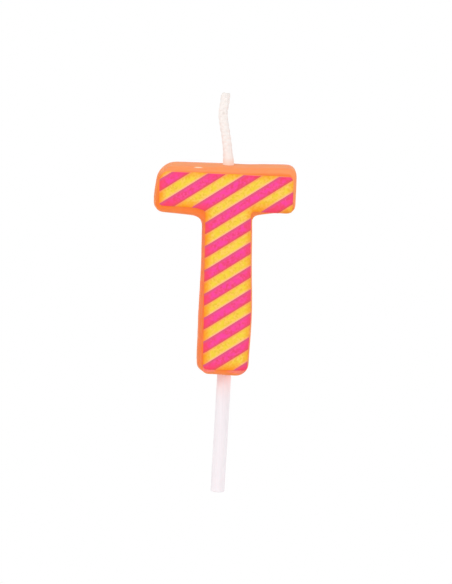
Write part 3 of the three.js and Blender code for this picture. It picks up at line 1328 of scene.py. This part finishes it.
@dataclass
class PrintedFace:
    """The printed face: a yellow film ironed on to the wax, and pink bands of ink on it. In millimetres."""

    letter: WaxLetter
    underside_margin: float = 1.1
    top_rise: float = 0.07  # from the solid's upper edge to the film's
    ink_drop: float = 0.1  # from the film's upper edge to the ink's
    top_tilt: float = 0.9  # degrees by which the film's upper edge falls to the right
    underside_tilt: float = 2.0
    left_margin: float = -0.04  # from the outer edge of the bevel, at the left of the stem
    foot_margin: float = 0.25  # the same at the foot
    right_margin: float = 0.34
    end_margin: float = 0.23  # how much further in it starts than the solid at the left end of the bar
    corner_radius: float = 0.7
    upper_left_radius: float = 1.9
    upper_right_radius: float = 1.1
    notch_start: float = 2.0  # how far left of the stem the underside turns down to it, and how softly
    # Corners below the left arm: how far to the right of and above where its underside meets the stem
    notch: Corners = (Corner(-0.15, -0.42, 0.7), Corner(0.05, -3.0, 3.0))
    band_angle: float = 33.7
    band_pitch: float = 3.81
    band_width: float = 1.92
    band_offset: float = -0.71  # from the origin to the middle of the lowest band, square to the bands
    grid: float = 0.3
    film_top: float = 0.08  # above the wax
    film_thickness: float = 0.07
    ink_top: float = 0.105
    ink_thickness: float = 0.05
    # The print's tint near its outline is partly a thinner coat and partly painted shade: wider at the lower
    # edges, narrower at the right and upper ones
    fade: float = 1.5  # how far in from its outline the print is thinner and has painted shade
    fade_below: float = 0.4  # how much further that is at its lower edges, where the painted shade is wider
    fade_lean: float = 0.12  # how much further still for each millimetre to the right of the origin
    fade_most: float = 2.0  # fullness past which it isn't followed
    kept_right: float = 0.3  # how much of the full coat it still has on its right outline, where less shade is painted
    kept_above: float = 0.29
    bend_start: float = 0.4  # distances from the letter's outline between which it bends over the bevel
    bend_stop: float = 0.85
    bend_lean: float = 0.35  # how much nearer to the outline it bends at the right
    low: Vector = field(default_factory=lambda: box_mm("face_film")[0])
    high: Vector = field(default_factory=lambda: box_mm("face_film")[1])

    def top(self, x: float) -> float:
        """Gives the height of the film's upper edge at X."""
        return self.high.z + self.top_rise - math.tan(math.radians(self.top_tilt)) * (x - self.low.x)

    def underside(self, x: float) -> float:
        """Gives the height of the lower edge of the film's bar at X."""
        middle, height = self.letter.bar_offset, self.letter.bar_underside + self.underside_margin
        return height - math.tan(math.radians(self.underside_tilt)) * (x - middle)

    def band_edge(self, number: int) -> float:
        """Gives the distance of a band's lower edge from the origin, square to the bands."""
        return self.band_offset + (number - 1) * self.band_pitch - self.band_width / 2

    def corners(self) -> list[Corner]:
        """Gives the film's outline.

        Returns:
            Its corners, anticlockwise from the left of the foot.
        """
        letter, small = self.letter, self.corner_radius
        inset = letter.mould_draft + self.right_margin
        left, right = self.low.x + self.end_margin, self.high.x
        stem_left = letter.stem_side(-1, letter.bar_underside) + letter.mould_draft + self.left_margin
        stem_right = letter.stem_side(1, letter.bar_underside) - inset
        foot_left = letter.stem_side(-1, 0) + letter.foot_draft + self.foot_margin
        turn = stem_left - self.notch_start
        return [
            Corner(foot_left, self.low.z, small),
            Corner(letter.stem_side(1, 0) - inset, self.low.z, small),
            *(
                Corner(letter.stem_side(1, z) + bulge - inset, z, letter.bulge_radius)
                for z, bulge in letter.right_bulges
            ),
            Corner(stem_right, self.underside(stem_right), small),
            Corner(right, self.underside(right), small),
            Corner(right, self.top(right), self.upper_right_radius),
            Corner(left, self.top(left), self.upper_left_radius),
            Corner(left, self.underside(left), small),
            Corner(turn, self.underside(turn), self.notch_start),
            *(corner.moved(stem_left, self.underside(stem_left)) for corner in self.notch),
        ]

    def sheet(self) -> BMesh:
        """Makes the film as a flat sheet, cut into an even grid, with the values that its material reads.

        Returns:
            An open bmesh in the plane of Y = 0.
        """
        bm = rounded_face(self.corners(), 0.0)
        outline = rounded_face(self.letter.corners(), 0.0)
        rim, letter_rim = Rim(bm), Rim(outline)
        outline.free()
        for axis in (X_AXIS, Z_AXIS):
            place = self.low.dot(axis) + self.grid
            while place < self.high.dot(axis):
                sliced(bm, place, axis)
                place += self.grid
        edge, bevel, across = (
            bm.verts.layers.float.new(layer.value) for layer in (Layer.EDGE, Layer.BEVEL, Layer.ACROSS)
        )
        square, lower = square_to(self.band_angle), self.band_edge(1)
        for vert in bm.verts:
            outward, distance = rim(vert.co)
            start = self.kept_right * max(outward.x, 0) + self.kept_above * max(outward.z, 0)
            below = self.fade_below + self.fade_lean * max(vert.co.x, 0)
            inside = distance / (self.fade + below * max(-outward.z, 0))
            vert[edge] = min(start + (1 - start) * inside, self.fade_most)
            outward, inward = letter_rim(vert.co)
            inward += self.bend_lean * max(outward.x, 0)
            bend = (inward - self.bend_start) / (self.bend_stop - self.bend_start)
            vert[bevel] = min(max(bend, 0.0), 1.0)
            vert[across] = vert.co.dot(square) - lower
        return bm

    def lay(self, flat: BMesh, surface: BVHTree, top: float, thickness: float) -> BMesh:
        """Lays a flat sheet on the wax and gives it a thickness.

        Args:
            flat: The sheet, which is changed.
            surface: The surface of the wax.
            top: The height of its front face above the wax.
            thickness: Its thickness.

        Returns:
            The same bmesh, closed.
        """
        for vert in flat.verts:
            start = Vector((vert.co.x, 2 * self.letter.low.y, vert.co.z))
            place, normal, _, _ = surface.ray_cast(start, Y_AXIS)
            if place is None:
                beside = Vector((vert.co.x, self.letter.bevel_plane, vert.co.z))
                place, normal, _, _ = surface.find_nearest(beside)
            vert.co = place + normal * top
        flat.normal_update()
        if sum(face.normal.y * face.calc_area() for face in flat.faces) > 0:
            bmesh.ops.reverse_faces(flat, faces=flat.faces)
        bmesh.ops.solidify(flat, geom=flat.faces, thickness=thickness)
        bmesh.ops.recalc_face_normals(flat, faces=flat.faces)
        return flat

    def band(self, sheet: BMesh, number: int) -> list[BMesh]:
        """Cuts one band out of the sheet.

        Args:
            sheet: The flat sheet, which is left as it is.
            number: The band's number, from the foot up.

        Returns:
            A bmesh for each part of the band, from the left.
        """
        bm = sheet.copy()
        square, up = square_to(self.band_angle), square_to(-self.top_tilt)
        lower = self.band_edge(number)
        edge = up.dot(Vector((self.low.x, 0, self.top(self.low.x)))) - self.ink_drop
        for place, outward in ((-lower, -square), (lower + self.band_width, square), (edge, up)):
            sliced(bm, place, outward, trim=True)
        across = bm.verts.layers.float[Layer.ACROSS.value]
        for vert in bm.verts:
            vert[across] = vert.co.dot(square) - lower
        return self.loose_parts(bm)

    def loose_parts(self, bm: BMesh) -> list[BMesh]:
        """Splits a bmesh into its separate parts.

        Args:
            bm: The bmesh, which is freed.

        Returns:
            A bmesh for each part that is larger than a speck, from the left.
        """
        bm.verts.index_update()
        waiting, parts = set(bm.verts), []
        while waiting:
            front = {waiting.pop()}
            inside = set(front)
            while front:
                front = {vert for near in front for edge in near.link_edges for vert in edge.verts} - inside
                inside |= front
            waiting -= inside
            kept = {vert.index for vert in inside}
            part = bm.copy()
            part.verts.index_update()
            others = [vert for vert in part.verts if vert.index not in kept]
            bmesh.ops.delete(part, geom=others, context="VERTS")
            if sum(face.calc_area() for face in part.faces) > self.grid:
                parts.append(part)
            else:
                part.free()
        bm.free()
        return sorted(parts, key=lambda part: min(vert.co.x for vert in part.verts))

    def build(self, surface: BVHTree) -> None:
        """Makes the film and the bands and dresses them.

        Args:
            surface: The surface of the wax.
        """
        sheet = self.sheet()
        ink = OverprintedInk(band_width=self.band_width).make()
        foil = TransferFoil(band_width=self.band_width, band_pitch=self.band_pitch).make()
        names = sorted(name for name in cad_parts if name.startswith(BAND))
        for number, wanted in groupby(names, key=lambda name: int(name.removeprefix(BAND)[:2])):
            for name, part in zip(wanted, self.band(sheet, number)):
                self.lay(part, surface, self.ink_top, self.ink_thickness)
                finished(part, name.replace("pink_band", "ink_band"), ink, [name])
        film = self.lay(sheet, surface, self.film_top, self.film_thickness)
        finished(film, "printed_film", foil, ["face_film"])


class Lamp(NamedTuple):
    """A soft light: its place in millimetres and its power in watts."""

    name: str
    place: Triple
    power: float


@dataclass
class Studio:
    """A white table top with soft light, and the camera. Sizes are in millimetres, angles in degrees."""

    lens: float = 148.35
    sensor: float = 36.0
    nearest_seen: float = 10.0  # from the lens
    distance: float = 458.5
    aim: Triple = (-0.22, 0.0, 15.65)
    azimuth: float = -2.5
    elevation: float = 7.0
    roll: float = 2.0
    floor_drop: float = 60.0  # from the end of the stick to the floor
    floor_size: float = 420.0  # from its middle to its edge
    floor_sides: int = 64
    floor_colour: str = "FAFAFA"
    shadow_reach: float = 160.0  # how far round the candle the floor shows shadows
    shadow_full: float = 80.0  # how far round it they are strongest
    shadow_lift: float = 0.4  # how much of them is lifted to white even there
    surround: float = 0.655  # what the white surroundings give the candle
    box_size: float = 420.0
    lamps: tuple[Lamp, ...] = (
        Lamp("key", (-340, -400, 400), 1.7),
        Lamp("fill", (400, -420, 160), 0.6),
        Lamp("side", (420, 120, 160), 0.35),
    )

    def camera(self) -> None:
        """Adds the camera at the photograph's viewing angle."""
        azimuth, elevation, roll = (math.radians(a) for a in (self.azimuth, self.elevation, self.roll))
        aside, away, flat = math.sin(azimuth), -math.cos(azimuth), math.cos(elevation)
        back = Vector((aside * flat, away * flat, math.sin(elevation)))
        level = Vector((-away, aside, 0))
        upright = back.cross(level)
        right = level * math.cos(roll) + upright * math.sin(roll)
        up = upright * math.cos(roll) - level * math.sin(roll)
        camera = placed("camera", bpy.data.cameras.new("camera"))
        camera.data.lens = self.lens
        camera.data.sensor_width = self.sensor
        camera.data.clip_start = self.nearest_seen * MM
        turn = Matrix((right, up, back)).transposed().to_4x4()
        camera.matrix_world = Matrix.Translation((Vector(self.aim) + back * self.distance) * MM) @ turn
        bpy.context.scene.camera = camera

    def softbox(self, lamp: Lamp) -> None:
        """Adds a square soft light that faces the candle.

        Args:
            lamp: Its name, place and power.
        """
        place = Vector(lamp.place)
        light = placed(lamp.name, bpy.data.lights.new(lamp.name, "AREA"))
        light.data.shape = "SQUARE"
        light.data.size = self.box_size * MM
        light.data.energy = lamp.power
        turn = (Vector(self.aim) - place).to_track_quat("-Z", "Y").to_matrix().to_4x4()
        light.matrix_world = Matrix.Translation(place * MM) @ turn

    def seen(self, tree: NodeTree, *kinds: str) -> NodeSocket:
        """Adds the nodes that tell some kinds of ray from the others.

        Args:
            tree: Node tree that they go into.
            *kinds: Names of the kinds.

        Returns:
            1 for a ray of one of these kinds, otherwise 0.
        """
        rays = add_node(tree, "ShaderNodeLightPath")
        seen = rays[kinds[0]]
        for kind in kinds[1:]:
            both = add_node(tree, "ShaderNodeMath", {0: seen, 1: rays[kind]}, operation="MAXIMUM")
            seen = both[0]
        return seen

    def surroundings(self) -> None:
        """Makes everything round the table plain white to the eye, and a soft light to the candle."""
        world = bpy.data.worlds.new("white_room")
        world.use_nodes = True
        tree = world.node_tree
        tree.nodes.clear()
        shown = self.seen(tree, "Is Camera Ray", "Is Glossy Ray", "Is Transmission Ray")
        light, backdrop = (
            add_node(tree, "ShaderNodeBackground", {"Color": WHITE, "Strength": strength})[0]
            for strength in (self.surround, 1.0)
        )
        both = add_node(tree, "ShaderNodeMixShader", {0: shown, 1: light, 2: backdrop})
        add_node(tree, "ShaderNodeOutputWorld", {"Surface": both[0]})
        bpy.context.scene.world = world

    def floor(self) -> None:
        """Adds the white floor. It shows shadows near the candle and is plain white further out."""
        material, tree = empty_material("white_floor")
        place = add_node(tree, "ShaderNodeTexCoord")
        radius = add_node(tree, "ShaderNodeVectorMath", {0: place["Object"]}, operation="LENGTH")
        far = add_node(
            tree, "ShaderNodeMapRange",
            {
                "Value": radius["Value"], "From Min": self.shadow_full * MM,
                "From Max": self.shadow_reach * MM, "To Min": self.shadow_lift,
            },
            interpolation_type="SMOOTHSTEP",
        )
        seen = self.seen(tree, "Is Camera Ray", "Is Glossy Ray")
        plain = add_node(tree, "ShaderNodeMath", {0: far["Result"], 1: seen}, operation="MULTIPLY")
        paper = add_node(tree, "ShaderNodeBsdfDiffuse", {"Color": linear(self.floor_colour)})
        white = add_node(tree, "ShaderNodeEmission", {"Color": WHITE, "Strength": 1.0})
        both = add_node(tree, "ShaderNodeMixShader", {0: plain[0], 1: paper[0], 2: white[0]})
        add_node(tree, "ShaderNodeOutputMaterial", {"Surface": both[0]})
        height = box_mm("stick")[0].z - self.floor_drop
        bm = bmesh.new()
        bmesh.ops.create_circle(bm, cap_ends=True, radius=self.floor_size * MM, segments=self.floor_sides)
        bmesh.ops.translate(bm, vec=(0, 0, height * MM), verts=bm.verts)
        floor = as_object(bm, "floor")
        floor.data.materials.append(material)

    def build(self) -> None:
        """Sets up the studio."""
        self.camera()
        for lamp in self.lamps:
            self.softbox(lamp)
        self.surroundings()
        self.floor()
        bpy.context.scene.view_settings.view_transform = "Standard"


def main() -> None:
    """Builds the candle piece by piece, and the studio round it."""
    logging.basicConfig(level=logging.INFO, format="%(message)s")
    Studio().build()
    stick = PlasticStick()
    wick = CottonWick()
    letter = WaxLetter()
    surface = letter.build(stick, wick)
    PrintedFace(letter).build(surface)
    wick.build()
    stick.build()


if __name__ == "__main__":
    main()
